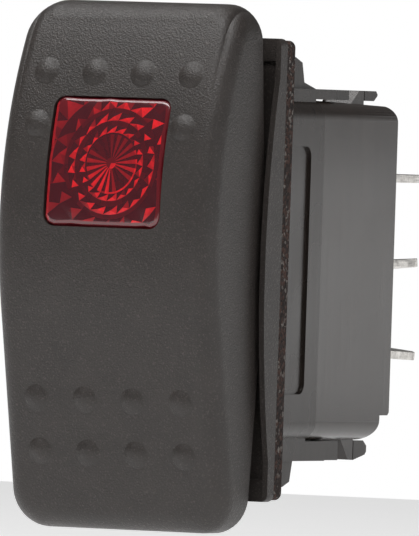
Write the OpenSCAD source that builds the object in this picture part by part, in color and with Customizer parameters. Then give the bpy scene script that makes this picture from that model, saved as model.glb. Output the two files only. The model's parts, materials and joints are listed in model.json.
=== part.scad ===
// Panel rocker switch: textured dotted rocker with a square prismatic lens,
// snap-in mounting bracket, foam panel gasket, base with blade terminals.
// Millimetres. X right, Y into the panel, Z up. The gasket's rear face is y = 0.
// Depths below are taken from the rear face of the bracket's flange.

/* [Rocker] */
// Rocker height
rocker_h = 49.4; // [44:0.5:54]
// Rocker width
rocker_w = 23.1; // [20:0.02:23.6]
// Radius of the curved front, upper part
front_r = 39.4; // [34:0.2:60]
// How far the front's highest line stands ahead of the flange's rear
front_reach = 12.3; // [10:0.1:14]
// Height of the front's highest line above the pivot
crest_z = 3.8; // [0:0.2:8]
// Slope of the flat lower front, degrees
lower_slope = 11.7; // [4:0.1:16]
// Rounding of the front's long edges
edge_r = 1.9; // [0.8:0.1:3]
// Corner radius seen from the front
corner_r = 3.4; // [2:0.1:6]
// Wall of the rocker shell
rocker_wall = 1.5; // [1:0.1:2]
// Skirt height above the flange at mid height
skirt_mid = 1.1; // [1:0.05:3]
// Skirt height above the flange at the rocker's ends
skirt_end = 3.35; // [3:0.05:5]
// Thickness of the two inner ribs
rib_t = 1.2; // [0.8:0.1:2]
// Height of the inner ribs above and below the pivot
rib_z = 18; // [12:0.5:19]
// Tilt each way from the middle, degrees
tilt_range = 5; // [2:0.5:5]

/* [Dots] */
// Dot diameter
dot_d = 2.5; // [1.5:0.1:3.5]
// Dot height
dot_h = 0.42; // [0.2:0.02:0.8]
// Distance between dots
dot_pitch = 5.08; // [4:0.02:6]
// Height of the uppermost row
dot_top_z = 18; // [15:0.1:20]
// Depth of the lowest row below the pivot
dot_low_z = 17.6; // [15:0.1:20]
// Spread of the two dots beside the lens
dot_flank = 15.4; // [15:0.1:16.4]

/* [Lens] */
// Lens width and height
lens_w = 12.1; // [9:0.1:12.4]
// Lens corner radius
lens_r = 1.0; // [0.4:0.1:3]
// Height of the lens middle
lens_z = 9.7; // [9:0.1:10]
// Gap round the lens
lens_gap = 0.12; // [0.06:0.01:0.3]
// Lens thickness
lens_t = 2.6; // [2:0.1:3.2]
// Width of the lip that holds the lens behind the rocker's wall
lens_lip = 0.8; // [0.4:0.1:1.2]
// Depth of the light pipe behind the lens
pipe_l = 3.6; // [2:0.1:4]

/* [Bezel and bracket] */
// Flange height
flange_h = 43.3; // [40:0.1:46]
// Flange width
flange_w = 25.2; // [24.8:0.1:27]
// Flange corner radius
flange_r = 0.7; // [0.3:0.1:2]
// Thickness of the flange's ends
flange_t = 0.8; // [0.6:0.05:0.9]
// How far the flange is sunk beside the rocker
pocket_d = 0.3; // [0.1:0.05:0.4]
// Height of the two end bands
end_band = 2.1; // [1:0.1:3]
// Gap between the rocker and the side rims
side_gap = 0.5; // [0.3:0.05:0.8]
// Rise of the side rims at their ends
rim_end_t = 1.3; // [0.9:0.05:1.6]
// Rise of the side rims at mid height
hump_t = 3.15; // [2:0.05:4]
// Half length of the arched part of a rim
hump_half = 18; // [14:0.5:20]
// Collar width behind the panel
collar_w = 20.7; // [20.4:0.1:21]
// Collar height behind the panel
collar_h = 32; // [31.6:0.1:33]
// Collar depth
collar_d = 12.3; // [11.5:0.1:14]
// Corner radius of collar and base
body_r = 1.8; // [1.3:0.1:3]
// Collar wall at the sides
collar_wall = 1.1; // [0.9:0.1:1.2]
// Collar wall at the top and bottom
collar_end_wall = 1.2; // [0.9:0.1:1.4]
// Depth of the blank recess in each side
recess_d = 0.3; // [0.1:0.05:0.5]
// Height of the blank recess
recess_h = 23.3; // [16:0.1:25]
// Space from the recess to the collar's end
recess_in = 2.6; // [1.5:0.1:5]
// Depth along the collar of the recess
recess_l = 9; // [5:0.5:9.2]

/* [Snap arms] */
// Arm width
arm_w = 16; // [14:0.5:16]
// Upper arm thickness
arm_t = 0.95; // [0.8:0.05:1.4]
// Lower arm thickness
low_arm_t = 1.85; // [0.8:0.05:2]
// Gap between an arm and the base
arm_gap = 0.12; // [0.08:0.01:0.2]
// Height of the stepped tooth over the arm
tooth_h = 2.95; // [1.5:0.05:3.2]
// Height of the lower arm's tooth
low_tooth_h = 2.5; // [1.5:0.05:3]
// Rise of the upper tooth's foot behind the collar
tooth_ramp = 0.6; // [0.2:0.05:0.8]
// Where the tooth's first step meets the panel
tooth_y = 4; // [4:0.1:4.6]
// Length of each of the tooth's steps
tooth_step = 1.4; // [0.8:0.1:1.6]
// Width of the rails that carry a tooth
rail_w = 1; // [0.8:0.1:1.2]
// Slot between a rail and its tooth
rail_gap = 0.3; // [0.2:0.05:0.5]
// How far the rails run on behind the collar
rail_l = 4; // [3:0.1:5]
// Length of the bridge between the rails' ends
bridge_l = 2.8; // [2:0.1:2.9]
// How far the tongue runs on behind the collar
tongue_l = 2.4; // [1.5:0.1:2.6]
// Length of the hook bar at the arm's end
hook_l = 2.65; // [2:0.05:3]
// Fall of the lower hook bar's outer face
hook_fall = 0.5; // [0.2:0.05:0.7]
// Half width of the arm's neck
neck_x = 4.6; // [3:0.1:4.6]
// Length of the base's catches under the hook bar
catch_l = 2.85; // [2.4:0.05:3.2]
// Width of each catch
catch_w = 3.2; // [2:0.1:3.2]

/* [Gasket] */
// Foam gasket thickness
gasket_t = 1.9; // [1:0.1:2.6]
// How far the gasket stays inside the flange edge
gasket_in = 0.15; // [0:0.05:0.5]

/* [Base] */
// Depth of the whole body behind the flange
body_d = 27.2; // [26.5:0.1:30]
// Rear wall of the base
floor_t = 2.7; // [2.2:0.1:3.5]
// Wall of the base's nose
nose_wall = 1; // [0.8:0.1:1.1]
// Clearance between the base's nose and the collar
nose_c = 0.15; // [0.1:0.01:0.3]
// Where the base's nose starts behind the flange
nose_y = 3.8; // [3.2:0.1:5]
// Thickness of the raised terminal panel
plateau_t = 1.9; // [1:0.1:2.2]
// Where the terminal panel ends above the base's lower edge
plateau_z = 2.35; // [2.3:0.05:3.4]
// Rounding of the base's lower rear edge
rear_low_r = 2; // [1.5:0.1:2.2]
// Rounding of the base's upper rear edge
rear_top_r = 1.6; // [0.8:0.1:2]
// How much the base's top falls towards the rear
top_fall = 0.35; // [0:0.05:0.5]
// Height of the raised mouths round the blades
mouth_h = 0.9; // [0.4:0.1:1.2]

/* [Terminals] */
// Blade width
blade_w = 6.3; // [4.8:0.1:6.3]
// Blade thickness
blade_t = 0.8; // [0.5:0.1:0.8]
// Length of blade behind the base
blade_l = 8.6; // [7:0.1:10]
// Hole in each blade
blade_hole = 1.8; // [1.2:0.1:2.2]
// Width of the lamp terminals
lamp_blade_w = 2.8; // [2.2:0.1:2.8]
// Distance between the two poles
pole_pitch = 11.6; // [11.4:0.1:11.8]
// Distance between terminal rows
row_pitch = 8.3; // [8:0.05:8.6]
// Distance of the lamp terminals from the middle row
lamp_pin_z = 11.7; // [11.4:0.1:12]

/* [Mechanism] */
// Pivot pin diameter
pin_d = 1.6; // [1.2:0.1:2]
// Depth of the pivot axis
pivot_y = 1.2; // [1.1:0.1:1.5]
// Running clearance on a radius
run_c = 0.05; // [0.02:0.01:0.08]
// Seated clearance on a radius
seat_c = 0.02; // [0.01:0.01:0.05]
// Gap between parts that move past each other
move_c = 0.3; // [0.2:0.05:0.4]
// Height of the mechanism's middle above the pivot
mech_z = 0.55; // [0.2:0.05:1]
// Height of the actuator plate
plate_h = 38; // [37.4:0.2:39]
// Thickness of the actuator plate
plate_t = 1.4; // [1:0.1:1.8]
// How far the plate's front stands ahead of the flange's rear
plate_y = 5.2; // [4.8:0.1:5.6]
// Half height of the actuator's stem
stem_z = 2.7; // [2.2:0.1:3]
// Depth of the stem's end
stem_end = 9; // [8.6:0.1:9.2]
// Depth of the bores' bottom in the stem
bore_y = 2.9; // [2.6:0.1:3.2]
// Wall outside the stem's bores
stem_wall = 0.6; // [0.5:0.05:0.75]
// Plunger diameter
plunger_d = 2.6; // [2.2:0.1:2.8]
// Spring wire diameter
wire_d = 0.45; // [0.3:0.05:0.5]
// Spring turns
coil_turns = 5; // [4:1:6]
// Depth of the contact arms' pivots
arm_y = 16.2; // [16:0.1:17]
// Gap from the plunger tip to its arm
tip_gap = 0.15; // [0.1:0.05:0.3]
// Contact strip width
strip_w = 3; // [2:0.1:3.2]
// Contact strip thickness
strip_t = 0.6; // [0.4:0.05:0.8]
// Radius of the contact arm's hub
hub_r = 1; // [0.8:0.05:1.1]
// Radius of the knuckle the hub rocks on
knuckle_r = 0.5; // [0.4:0.05:0.6]
// Contact button diameter
button_d = 2.2; // [1.6:0.1:2.6]
// Button thickness
button_t = 0.7; // [0.4:0.1:0.8]
// Half width of the terminals' inner tabs
tab_x = 1.9; // [1.6:0.1:1.9]
// Half height of the end terminals' tabs
tab_z = 1.6; // [1.3:0.1:2]

/* [Lamp] */
// Depth of the lamp board's front
board_y = 9.2; // [9:0.1:9.6]
// Thickness of the lamp board
board_t = 1; // [0.8:0.1:1.2]
// Height of the board's lower edge
board_low_z = 6.4; // [5:0.1:7]
// Lamp radius
lamp_r = 1.5; // [1:0.1:1.6]
// Resistor radius
resistor_r = 0.95; // [0.6:0.05:1]
// Width of the lamp lead
lead_w = 1; // [0.6:0.1:1.2]
// Thickness of the lamp lead
lead_t = 0.5; // [0.3:0.05:0.5]
// Overlap of the lamp lead on its board
lead_up = 0.8; // [0.5:0.1:1.5]

/* [Hidden] */
$fn = 96;
far = 60;
lap = 0.02;
// rocker and lens
arc_up = asin(rocker_h / 2 / front_r) + 5;
arc_past = 4;
section_depth = 1.4 * front_reach;
fold_z = crest_z - front_r * sin(lower_slope);
dot_rise = dot_pitch * cos(lower_slope);
dome_r = (dot_d * dot_d / 4 + dot_h * dot_h) / (2 * dot_h);
shell_w = rocker_w - 2 * rocker_wall;
shell_h = rocker_h - 2 * rocker_wall;
lip_half = lens_w / 2 + lens_lip;
lens_drop = lip_half * lip_half / (2 * front_r) + 0.1;
lens_tilt = asin((lens_z - crest_z) / front_r);
// bracket
col_x = collar_w / 2;
col_z = collar_h / 2;
in_x = col_x - collar_wall;
in_z = col_z - collar_end_wall;
rim_t = max((flange_w - rocker_w) / 2 - side_gap, 0.3);
arm_lo = col_z + arm_gap;
arm_end = body_d + 0.1;
hook_y = arm_end - hook_l;
catch_end = hook_y - 0.15;
catch_y = catch_end - catch_l;
rail_x = arm_w / 2 + rail_gap;
// base
nose_x = in_x - nose_c;
nose_z = in_z - nose_c;
cav_x = nose_x - nose_wall;
cav_z = nose_z - nose_wall;
floor_y = body_d - floor_t;
plateau_low = plateau_z - col_z;
rows = [mech_z + row_pitch, mech_z, mech_z - row_pitch];
lamp_pins = [mech_z + lamp_pin_z, mech_z - lamp_pin_z];
// mechanism
pole_x = pole_pitch / 2;
bore_d = plunger_d + 2 * run_c;
stem_x = pole_x + bore_d / 2 + stem_wall;
tip_y = arm_y - hub_r - tip_gap;
plunger_y = stem_end - 1;
travel = (row_pitch + button_d / 2) * sin(tilt_range) + 0.12;
rest_y = arm_y - hub_r + strip_t + button_t;
fixed_y = rest_y + travel;
foot_y = fixed_y + button_t;
board_back = board_y + board_t;
lead_y = board_back + 2.7;

black = [0.09, 0.09, 0.09];
dark = [0.16, 0.14, 0.13];
red = [0.8, 0.08, 0.1];
milk = [0.85, 0.85, 0.82];
foam = [0.2, 0.17, 0.15];
steel = [0.7, 0.7, 0.72];
copper = [0.75, 0.5, 0.3];
silver = [0.85, 0.85, 0.86];
tin = [0.72, 0.7, 0.66];
board_green = [0.15, 0.35, 0.2];

// ---- helpers ----
// depths from the flange's rear become depths from the gasket's rear
module seat() { translate([0, -gasket_t, 0]) children(); }

module round_rect(w, h, r) {
  square([w - 2 * r, h], center = true);
  square([w, h - 2 * r], center = true);
  for (sx = [-1, 1], sz = [-1, 1])
    translate([sx * (w / 2 - r), sz * (h / 2 - r)]) circle(r = r);
}

// a flat outline in X and Z, from y0 to y1
module along_y(y0, y1) {
  translate([0, y1, 0]) rotate([90, 0, 0]) linear_extrude(y1 - y0) children();
}

// an outline in Y and Z, from x0 to x1
module along_x(x0, x1) {
  translate([x0, 0, 0]) rotate([90, 0, 90]) linear_extrude(x1 - x0) children();
}

module box_at(x0, x1, y0, y1, z0, z1) {
  translate([x0, y0, z0]) cube([x1 - x0, y1 - y0, z1 - z0]);
}

module rod_y(r, y0, y1) {
  translate([0, y1, 0]) rotate([90, 0, 0]) cylinder(r = r, h = y1 - y0);
}

module rod_x(r, x0, x1) {
  translate([x0, 0, 0]) rotate([0, 90, 0]) cylinder(r = r, h = x1 - x0);
}

// points of a quarter round about (y, z), turning clockwise from angle a0
function quarter(y, z, r, a0) = [for (a = [0 : 10 : 90]) [y + r * cos(a0 - a), z + r * sin(a0 - a)]];

// about the centre of the curved front
module about_front(a) {
  translate([0, front_r - front_reach, crest_z]) rotate([a, 0, 0]) children();
}

// cross-section of the rocker: depth outwards from the bend's centre, width across
module front_section(w, r_out, e) {
  steps = [0, 30, 60, 90];
  polygon(concat([[r_out - section_depth, -w / 2]],
    [for (a = steps) [r_out - e + e * sin(a), -w / 2 + e - e * cos(a)]],
    [for (a = steps) [r_out - e + e * cos(a), w / 2 - e + e * sin(a)]],
    [[r_out - section_depth, w / 2]]));
}

// the curved upper part runs on a little inside the straight lower part
module front_body(w, r_out, e) {
  straight_l = rocker_h / 2 + arc_past;
  about_front(0) rotate([0, 90, 0]) rotate([0, 0, 270 - arc_up])
    rotate_extrude(angle = arc_up + lower_slope + arc_past, $fn = 240) front_section(w, r_out, e);
  about_front(lower_slope) translate([0, 0, -straight_l]) linear_extrude(straight_l)
    rotate(-90) mirror([0, 1]) front_section(w - lap, r_out - lap, e);
}

// shallow V at the rocker's back, so that it can tilt on the flange
module behind_cut(mid, end) {
  along_x(-far, far) polygon([[-far, -rocker_h], [-far, rocker_h], [-end, rocker_h],
    [-end, rocker_h / 2], [-mid, 0], [-end, -rocker_h / 2], [-end, -rocker_h]]);
}

// a low dome on the rocker's front
module dot(x, z) {
  up = z > fold_z;
  a = up ? -asin((z - crest_z) / front_r) : lower_slope;
  dz = up ? 0 : (z - fold_z) / cos(lower_slope);
  about_front(a) translate([x, 0, dz]) intersection() {
    translate([0, dome_r - front_r - dot_h, 0]) sphere(r = dome_r, $fn = 64);
    rod_y(dot_d / 2 + 0.1, -front_r - dot_h - 1, -front_r + rocker_wall / 2);
  }
}

// ---- moving front ----
module rocker() {
  gap_w = lens_w + 2 * lens_gap;
  color(black) seat() {
    difference() {
      intersection() {
        front_body(rocker_w, front_r, edge_r);
        along_y(-far, 0) round_rect(rocker_w, rocker_h, corner_r);
        behind_cut(skirt_mid, skirt_end);
      }
      intersection() {
        front_body(shell_w, front_r - rocker_wall, edge_r / 2);
        along_y(-far, 1) round_rect(shell_w, shell_h, corner_r - rocker_wall);
      }
      about_front(-lens_tilt) along_y(-front_r - lens_t, -front_r + 2 * lens_t)
        round_rect(gap_w, gap_w, lens_r + lens_gap);
    }
    // dots: four, two beside the lens, four and four
    for (i = [-1.5 : 1.5]) {
      dot(i * dot_pitch, dot_top_z);
      dot(i * dot_pitch, dot_rise - dot_low_z);
      dot(i * dot_pitch, -dot_low_z);
    }
    for (s = [-1, 1]) dot(s * dot_flank / 2, dot_top_z - dot_rise);
    // ribs that carry the actuator plate
    for (s = [-1, 1]) intersection() {
      front_body(shell_w + 0.4, front_r - rocker_wall + 0.2, edge_r / 2);
      box_at(-shell_w / 2 - 0.2, shell_w / 2 + 0.2, -far, -plate_y - 0.1,
        s * rib_z - rib_t / 2, s * rib_z + rib_t / 2);
      along_y(-far, 1) round_rect(shell_w + 0.4, shell_h + 0.4, corner_r - rocker_wall);
    }
  }
}

module lens() {
  color(red) seat() about_front(-lens_tilt) intersection() {
    union() {
      along_y(-front_r - 3, -front_r + lens_t) round_rect(lens_w, lens_w, lens_r);
      along_y(-front_r + rocker_wall + lens_drop, -front_r + lens_t)
        round_rect(2 * lip_half, 2 * lip_half, lens_r);
    }
    difference() {
      rod_x(front_r - 0.05, -far, far);
      rod_x(front_r - lens_t, -far, far);
    }
  }
}

module light_pipe() {
  pipe_w = lens_w - 2;
  color(milk) seat() about_front(-lens_tilt) intersection() {
    along_y(-front_r, -front_r + lens_t + pipe_l) round_rect(pipe_w, pipe_w, lens_r);
    rod_x(front_r - lens_t - 0.1, -far, far);
  }
}

module actuator() {
  hole = lens_w - 1.6;
  back = move_c - plate_y + plate_t - 0.4;
  color(milk) seat() difference() {
    union() {
      along_y(-plate_y, -plate_y + plate_t) round_rect(shell_w - 0.5, plate_h, 2);
      box_at(-in_x + move_c, in_x - move_c, back, 2 * pivot_y, mech_z - stem_z, mech_z + stem_z);
      box_at(-stem_x, stem_x, back, stem_end, mech_z - stem_z, mech_z + stem_z);
    }
    translate([0, pivot_y, 0]) rod_x(pin_d / 2 + run_c, -far, far);
    for (s = [-1, 1]) translate([s * pole_x, 0, mech_z]) rod_y(bore_d / 2, bore_y, stem_end + 1);
    translate([0, 0, lens_z]) along_y(-plate_y - 1, -plate_y + plate_t + 1) round_rect(hole, hole, 1);
  }
}

module pivot_pin() {
  color(steel) seat() translate([0, pivot_y, 0]) rod_x(pin_d / 2, -col_x + 0.1, col_x - 0.1);
}

// ---- fixed front ----
// side view of a rim: low at the ends, arched at mid height
module hump_profile() {
  rise = hump_t - rim_end_t;
  hump_r = (hump_half * hump_half + rise * rise) / (2 * rise);
  intersection() {
    translate([hump_r - hump_t, 0]) circle(r = hump_r, $fn = 360);
    translate([-hump_t - 1, -flange_h / 2]) square([hump_t + 1, flange_h]);
  }
  translate([-rim_end_t, -flange_h / 2]) square([rim_end_t, flange_h]);
}

// upper snap arm of thickness t: rails, tongue with a stepped tooth of height h, arm, neck
// and a hook bar whose outer face falls towards its end
module snap_arm(t, h, ramp, fall) {
  hi = arm_lo + t;
  bridge_y = collar_d + rail_l - bridge_l;
  bridge_end = collar_d + rail_l;
  tongue_end = collar_d + tongue_l;
  for (s = [-1, 1]) translate([s * (rail_x + rail_w / 2), 0, 0]) {
    box_at(-rail_w / 2, rail_w / 2, -flange_t, collar_d, col_z - 0.7, hi);
    box_at(-rail_w / 2, rail_w / 2, collar_d - 1, bridge_end, arm_lo, hi);
  }
  box_at(-rail_x - rail_w, rail_x + rail_w, bridge_y, bridge_end, arm_lo, hi);
  box_at(-arm_w / 2, arm_w / 2, tongue_end - 0.2, catch_y - 0.2, arm_lo, hi);
  box_at(-neck_x, neck_x, catch_y - 0.5, hook_y + 0.5, arm_lo, hi);
  along_x(-arm_w / 2, arm_w / 2) polygon([[hook_y, arm_lo], [arm_end - 0.7, arm_lo],
    [arm_end, arm_lo + 0.5], [arm_end, hi - fall - 0.3], [arm_end - 0.3, hi - fall], [hook_y, hi]]);
  // the tooth's three steps grip panels of three thicknesses
  along_x(-arm_w / 2, arm_w / 2) polygon(concat(
    [[tooth_y, arm_lo + 0.3], [tongue_end, arm_lo + 0.3], [tongue_end, hi], [collar_d, hi + ramp],
      [collar_d - 0.5, hi + h - 0.5], [collar_d - 1.9, hi + h]],
    [for (i = [2, 1, 0], k = [1, 0]) [tooth_y + i * tooth_step, hi + h * (i + k) / 3]]));
}

module bezel_bracket() {
  color(black) seat() difference() {
    union() {
      // flange: sunk plate, two end bands and two arched side rims
      difference() {
        union() {
          along_y(pocket_d - flange_t, 0) round_rect(flange_w, flange_h, flange_r);
          intersection() {
            along_y(-far, 0) round_rect(flange_w, flange_h, flange_r);
            union() {
              for (s = [-1, 1]) {
                box_at(-flange_w / 2, flange_w / 2, -flange_t, 0,
                  s * (flange_h - end_band) / 2 - end_band / 2, s * (flange_h - end_band) / 2 + end_band / 2);
                along_x(s * (flange_w - rim_t) / 2 - rim_t / 2, s * (flange_w - rim_t) / 2 + rim_t / 2)
                  hump_profile();
              }
            }
          }
        }
        along_y(-far, 1) round_rect(2 * in_x, 2 * in_z, body_r - collar_wall);
      }
      // collar through the panel
      difference() {
        along_y(pocket_d - flange_t, collar_d) round_rect(collar_w, collar_h, body_r);
        along_y(-far, collar_d + 1) round_rect(2 * in_x, 2 * in_z, body_r - collar_wall);
        // windows the tongues spring into
        for (s = [-1, 1]) box_at(-rail_x, rail_x, tooth_y - 0.9, collar_d + 1,
          s * col_z - 1.6, s * col_z + 1.6);
        // blank recess on both sides
        for (s = [-1, 1]) translate([s * (col_x + 0.5 - recess_d), 0, 0]) along_x(-0.5, 0.5)
          translate([collar_d - recess_in - recess_l / 2, 0]) round_rect(recess_l, recess_h, 1);
      }
      snap_arm(arm_t, tooth_h, tooth_ramp, 0);
      mirror([0, 0, 1]) snap_arm(low_arm_t, low_tooth_h, 0.02, hook_fall);
    }
    translate([0, pivot_y, 0]) rod_x(pin_d / 2 + seat_c, -far, far);
  }
}

module panel_gasket() {
  clear = 0.15;
  color(foam) seat() difference() {
    along_y(0, gasket_t) round_rect(flange_w - 2 * gasket_in, flange_h - 2 * gasket_in, flange_r);
    box_at(-col_x - clear, col_x + clear, -1, gasket_t + 1,
      -arm_lo - low_arm_t - clear, arm_lo + arm_t + clear);
  }
}

module seal_plate() {
  gap = 2 * move_c;
  color(milk) seat() difference() {
    along_y(nose_y - 0.6, nose_y) round_rect(2 * nose_x, 2 * nose_z, body_r - collar_wall);
    box_at(-stem_x - move_c, stem_x + move_c, 0, nose_y + 1, mech_z - stem_z - gap, mech_z + stem_z + gap);
  }
}

// ---- base ----
// side view of the base: falling top, rounded rear edges, raised terminal panel
module base_side() {
  step_y = body_d - plateau_t;
  top_z = col_z - top_fall;
  polygon(concat([[collar_d - 1, -col_z], [collar_d - 1, col_z], [collar_d, col_z]],
    quarter(body_d - rear_top_r, top_z - rear_top_r, rear_top_r, 90),
    [[body_d, plateau_low + 0.3], [body_d - 0.3, plateau_low], [step_y, plateau_low]],
    quarter(step_y - rear_low_r, rear_low_r - col_z, rear_low_r, 0)));
}

module base_housing() {
  mouth_t = blade_t / 2 + 0.32;
  mouth_x = blade_w / 2 + 0.5;
  color(dark) seat() difference() {
    union() {
      intersection() {
        along_y(collar_d, body_d) round_rect(collar_w, collar_h, body_r);
        along_x(-far, far) base_side();
      }
      along_y(nose_y, collar_d + 1) round_rect(2 * nose_x, 2 * nose_z, body_r - collar_wall);
      base_catches(arm_t);
      mirror([0, 0, 1]) base_catches(low_arm_t);
      // raised mouths round the blades
      for (s = [-1, 1], z = rows)
        box_at(s * pole_x - mouth_x, s * pole_x + mouth_x, body_d - 0.5, body_d + mouth_h,
          z - mouth_t, z + mouth_t);
    }
    along_y(nose_y - 1, floor_y) round_rect(2 * cav_x, 2 * cav_z, 1);
    for (s = [-1, 1], z = rows) translate([s * pole_x, 0, z]) blade_slot(blade_w);
    for (z = lamp_pins) translate([0, 0, z]) blade_slot(lamp_blade_w);
  }
}

// ramped catches that the arm's hook bar snaps over
module base_catches(t) {
  hi = arm_lo + t - 0.05;
  for (s = [-1, 1]) along_x(s * (arm_w - catch_w) / 2 - catch_w / 2, s * (arm_w - catch_w) / 2 + catch_w / 2)
    polygon([[catch_y, col_z - 1], [catch_y, col_z - top_fall], [catch_y + catch_l * 0.66, hi],
      [catch_end, hi], [catch_end, col_z - 1]]);
}

module blade_slot(w) {
  box_at(-w / 2 - seat_c, w / 2 + seat_c, floor_y - 1, body_d + 3, -blade_t / 2 - seat_c, blade_t / 2 + seat_c);
}

// ---- mechanism ----
module plunger(s) {
  r = plunger_d / 2;
  color(milk) seat() translate([s * pole_x, 0, mech_z]) {
    rod_y(r, plunger_y, tip_y - r);
    translate([0, tip_y - r, 0]) sphere(r = r, $fn = 64);
  }
}
module plunger_left() { plunger(-1); }
module plunger_right() { plunger(1); }

// coil of the plunger's spring; its section is stretched along the rise
module coil(s) {
  start = bore_y + 0.3;
  len = plunger_y - start - 0.4;
  color(steel) seat() translate([s * pole_x, start, mech_z]) rotate([-90, 0, 0])
    linear_extrude(len, twist = -360 * coil_turns, slices = coil_turns * 14, $fn = 8)
      translate([bore_d / 2 - wire_d * 0.93, 0]) scale([1, 2.2]) circle(d = wire_d, $fn = 6);
}
module plunger_spring_left() { coil(-1); }
module plunger_spring_right() { coil(1); }

module contact_arm(s) {
  reach = row_pitch + button_d / 2 + 0.2;
  color(copper) seat() translate([s * pole_x, arm_y, mech_z]) difference() {
    union() {
      box_at(-strip_w / 2, strip_w / 2, -hub_r, -hub_r + strip_t, -reach, reach);
      rod_x(hub_r, -strip_w / 2, strip_w / 2);
    }
    rod_x(knuckle_r + run_c, -far, far);
    box_at(-far, far, 0.15, far, -far, far);
  }
}
module contact_arm_left() { contact_arm(-1); }
module contact_arm_right() { contact_arm(1); }

module button_pair(s, y) {
  for (m = [-1, 1]) translate([s * pole_x, 0, mech_z + m * row_pitch])
    rod_y(button_d / 2, y, y + button_t);
}

module arm_buttons_left() { color(silver) seat() button_pair(-1, rest_y - button_t); }
module arm_buttons_right() { color(silver) seat() button_pair(1, rest_y - button_t); }
module fixed_buttons() { color(silver) seat() for (s = [-1, 1]) button_pair(s, fixed_y); }

// a blade in X and Y, with its tip chamfered
module blade(w, y0, y1, t) {
  tip = w * 0.11;
  shoulder = y1 - tip * 1.3;
  translate([0, 0, -t / 2]) linear_extrude(t) polygon([[-w / 2, y0], [w / 2, y0], [w / 2, shoulder],
    [w / 2 - tip, y1], [tip - w / 2, y1], [-w / 2, shoulder]]);
}

// tab inside the base, blade behind it, hole near the blade's middle
module terminal(s, z, y0) {
  color(tin) seat() translate([s * pole_x, 0, mech_z + z]) difference() {
    union() {
      children();
      box_at(-tab_x, tab_x, y0, floor_y + 0.1, -blade_t / 2, blade_t / 2);
      blade(blade_w, floor_y, body_d + blade_l, blade_t);
    }
    translate([0, body_d + blade_l * 0.56, -far]) cylinder(d = blade_hole, h = 2 * far, $fn = 48);
  }
}

module end_terminal(s, m) {
  terminal(s, m * row_pitch, foot_y) box_at(-tab_x, tab_x, foot_y, foot_y + blade_t, -tab_z, tab_z);
}
module terminal_left_top() { end_terminal(-1, 1); }
module terminal_left_bottom() { end_terminal(-1, -1); }
module terminal_right_top() { end_terminal(1, 1); }
module terminal_right_bottom() { end_terminal(1, -1); }

module middle_terminal(s) {
  terminal(s, 0, arm_y) translate([0, arm_y, 0]) rod_x(knuckle_r, -tab_x, tab_x);
}
module terminal_left_middle() { middle_terminal(-1); }
module terminal_right_middle() { middle_terminal(1); }

// ---- lamp ----
module lamp_board() {
  color(board_green) seat() intersection() {
    along_y(board_y, board_back) round_rect(2 * cav_x - 0.1, 2 * cav_z - 0.1, 1);
    box_at(-cav_x, cav_x, 0, body_d, board_low_z, cav_z);
  }
}

module lamp() {
  rim = 0.8;
  centre = board_y - rim - lamp_r - 0.9;
  color(silver) seat() translate([0, 0, lens_z]) {
    rod_y(lamp_r, centre, board_y - rim);
    rod_y(lamp_r + 0.4, board_y - rim, board_y);
    translate([0, centre, 0]) sphere(r = lamp_r, $fn = 64);
  }
}

module lamp_resistor() {
  half = 2;
  color(copper) seat() translate([-half - 1.4, board_back + resistor_r + 0.05, lens_z])
    rod_x(resistor_r, -half, half);
}

module lamp_pin(z, y0) {
  color(tin) seat() translate([0, 0, z]) {
    box_at(-lead_w, lead_w, y0, floor_y + 0.1, -0.25, 0.25);
    blade(lamp_blade_w, floor_y, body_d + blade_l * 0.8, blade_t);
  }
}
module lamp_terminal_top() { lamp_pin(lamp_pins[0], board_back); }
module lamp_terminal_bottom() { lamp_pin(lamp_pins[1], lead_y); }

// strip from the lamp board down to the lower lamp terminal
module lamp_lead() {
  top = board_low_z + lead_up;
  low = lamp_pins[1];
  color(copper) seat() along_x(-lead_w / 2, lead_w / 2) polygon([[board_back, top], [lead_y, top],
    [lead_y, low], [lead_y - lead_t, low], [lead_y - lead_t, top - lead_t], [board_back, top - lead_t]]);
}

rocker();
lens();
light_pipe();
actuator();
pivot_pin();
bezel_bracket();
panel_gasket();
seal_plate();
base_housing();
plunger_left();
plunger_right();
plunger_spring_left();
plunger_spring_right();
contact_arm_left();
contact_arm_right();
arm_buttons_left();
arm_buttons_right();
fixed_buttons();
terminal_left_top();
terminal_left_middle();
terminal_left_bottom();
terminal_right_top();
terminal_right_middle();
terminal_right_bottom();
lamp_terminal_top();
lamp_terminal_bottom();
lamp_board();
lamp();
lamp_resistor();
lamp_lead();
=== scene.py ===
import json
import math
import random

import bmesh
import bpy
from mathutils import Matrix, Vector

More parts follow.
